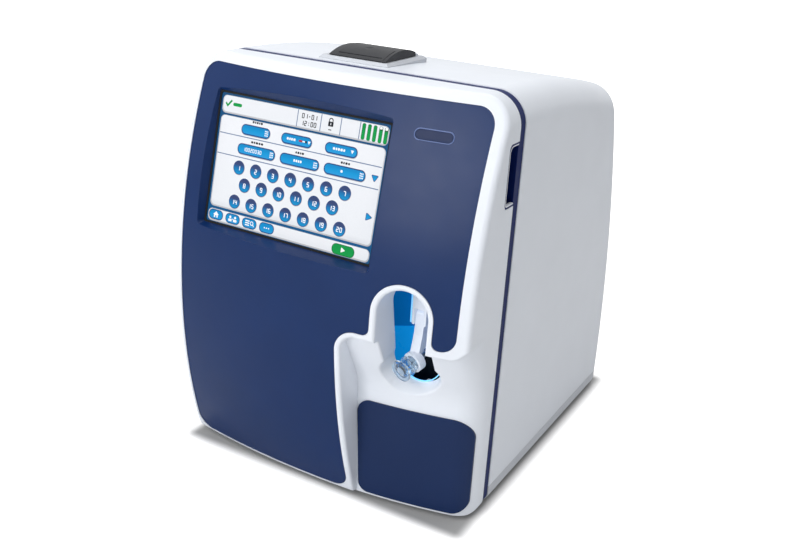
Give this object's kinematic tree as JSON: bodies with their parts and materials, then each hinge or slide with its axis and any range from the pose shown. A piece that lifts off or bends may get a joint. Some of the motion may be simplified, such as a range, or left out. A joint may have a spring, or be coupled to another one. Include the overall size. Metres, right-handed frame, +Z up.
{
  "type": "blood gas analyzer",
  "caption": "Bench-top fluid analyzer with an arched case, a bulged hinged front door, a tilted touch screen, a sampler recess and a strip printer on top.",
  "frame": {"origin": "centre of the footprint, on the table", "axes": "+X to the right seen from the front, +Y towards the back, +Z up"},
  "size_m": [0.352, 0.4532, 0.4555],
  "materials": {
    "white_cover": "satin",
    "navy_panel": "gloss",
    "blue_band": "satin",
    "grey_cover": "matte",
    "charcoal_cover": "satin",
    "black_plastic": "matte",
    "white_plastic": "matte",
    "blue_plastic": "gloss",
    "screen_glass": "gloss",
    "clear_plastic": "clear",
    "rubber_black": "matte",
    "sheet_steel": "satin",
    "aluminium": "satin",
    "coated_steel": "satin",
    "bright_steel": "polished",
    "board_green": "satin",
    "paper": "matte",
    "pack_plastic": "matte"
  },
  "bodies": {
    "instrument": {"case_shell": "white_cover", "base_pan": "grey_cover", "trim_band": "blue_band", "front_bulkhead": "coated_steel", "chassis_tray": "sheet_steel", "reagent_bay": "white_plastic", "reagent_pack": "pack_plastic", "control_bay": "white_plastic", "control_pack": "pack_plastic", "sensor_module": "grey_cover", "sensor_cards": "white_plastic", "lever_pin": "bright_steel", "pump_head": "grey_cover", "pump_motor": "sheet_steel", "fluid_manifold": "clear_plastic", "sampler_tray": "blue_plastic", "sampler_housing": "white_plastic", "power_supply": "sheet_steel", "main_board": "board_green", "rear_panel": "coated_steel", "fan_frame": "black_plastic", "power_inlet": "black_plastic", "data_ports": "sheet_steel", "printer_plinth": "grey_cover", "printer_bucket": "charcoal_cover", "print_head": "aluminium", "hinge_arm_lower": "coated_steel", "hinge_arm_upper": "coated_steel", "hinge_pins": "bright_steel", "catch_magnets": "black_plastic", "foot_front_left": "rubber_black", "foot_front_right": "rubber_black", "foot_rear_left": "rubber_black", "foot_rear_right": "rubber_black"},
    "front_door": {"door_bezel": "white_cover", "front_panel": "navy_panel", "lower_panel": "navy_panel", "display_gasket": "rubber_black", "touch_screen": "screen_glass", "lcd_module": "sheet_steel", "display_bracket": "sheet_steel", "display_board": "board_green", "door_liner": "grey_cover", "finger_pull": "blue_band", "catch_plates": "bright_steel", "drip_lip": "grey_cover"},
    "printer_lid": {"printer_lid": "charcoal_cover"},
    "platen_roller": {"platen_roller": "rubber_black"},
    "paper_roll": {"paper_roll": "paper"},
    "sampler_arm": {"sampler_arm": "grey_cover", "sample_port": "clear_plastic"},
    "sample_probe": {"sample_probe": "bright_steel"},
    "sensor_lever": {"sensor_lever": "blue_plastic"},
    "pump_rotor": {"pump_rotor": "white_plastic"},
    "fan_rotor": {"fan_rotor": "black_plastic"},
    "power_switch": {"power_switch": "black_plastic"}
  },
  "joints": [
    {"name": "door_hinge", "type": "hinge", "parent": "instrument", "child": "front_door", "pos_m": [-0.166, -0.152, 0.215], "axis": [0, 0, -1], "range_deg": [0, 90]},
    {"name": "lid_hinge", "type": "hinge", "parent": "instrument", "child": "printer_lid", "pos_m": [-0.01725, -0.0526, 0.4467], "axis": [-1, 0, 0], "range_deg": [0, 95]},
    {"name": "platen_spin", "type": "hinge", "parent": "printer_lid", "child": "platen_roller", "pos_m": [-0.01725, -0.1054, 0.4438], "axis": [1, 0, 0], "continuous": true},
    {"name": "roll_spin", "type": "hinge", "parent": "instrument", "child": "paper_roll", "pos_m": [-0.01725, -0.0869, 0.4163], "axis": [1, 0, 0], "continuous": true},
    {"name": "arm_swing", "type": "hinge", "parent": "instrument", "child": "sampler_arm", "pos_m": [0.101, -0.1624, 0.214], "axis": [-1, 0, 0], "range_deg": [0, 12]},
    {"name": "probe_slide", "type": "slide", "parent": "sampler_arm", "child": "sample_probe", "axis": [-0.25, -0.9299, -0.27], "range_m": [0, 0.012]},
    {"name": "lever_turn", "type": "hinge", "parent": "instrument", "child": "sensor_lever", "pos_m": [-0.062, -0.1274, 0.373], "axis": [0, 1, 0], "range_deg": [0, 90]},
    {"name": "pump_spin", "type": "hinge", "parent": "instrument", "child": "pump_rotor", "pos_m": [0.112, -0.1114, 0.33], "axis": [0, 1, 0], "continuous": true},
    {"name": "fan_spin", "type": "hinge", "parent": "instrument", "child": "fan_rotor", "pos_m": [-0.078, 0.1836, 0.11], "axis": [0, 1, 0], "continuous": true},
    {"name": "switch_rock", "type": "hinge", "parent": "instrument", "child": "power_switch", "pos_m": [0.034, 0.1936, 0.078], "axis": [1, 0, 0], "range_deg": [-8, 8]}
  ]
}
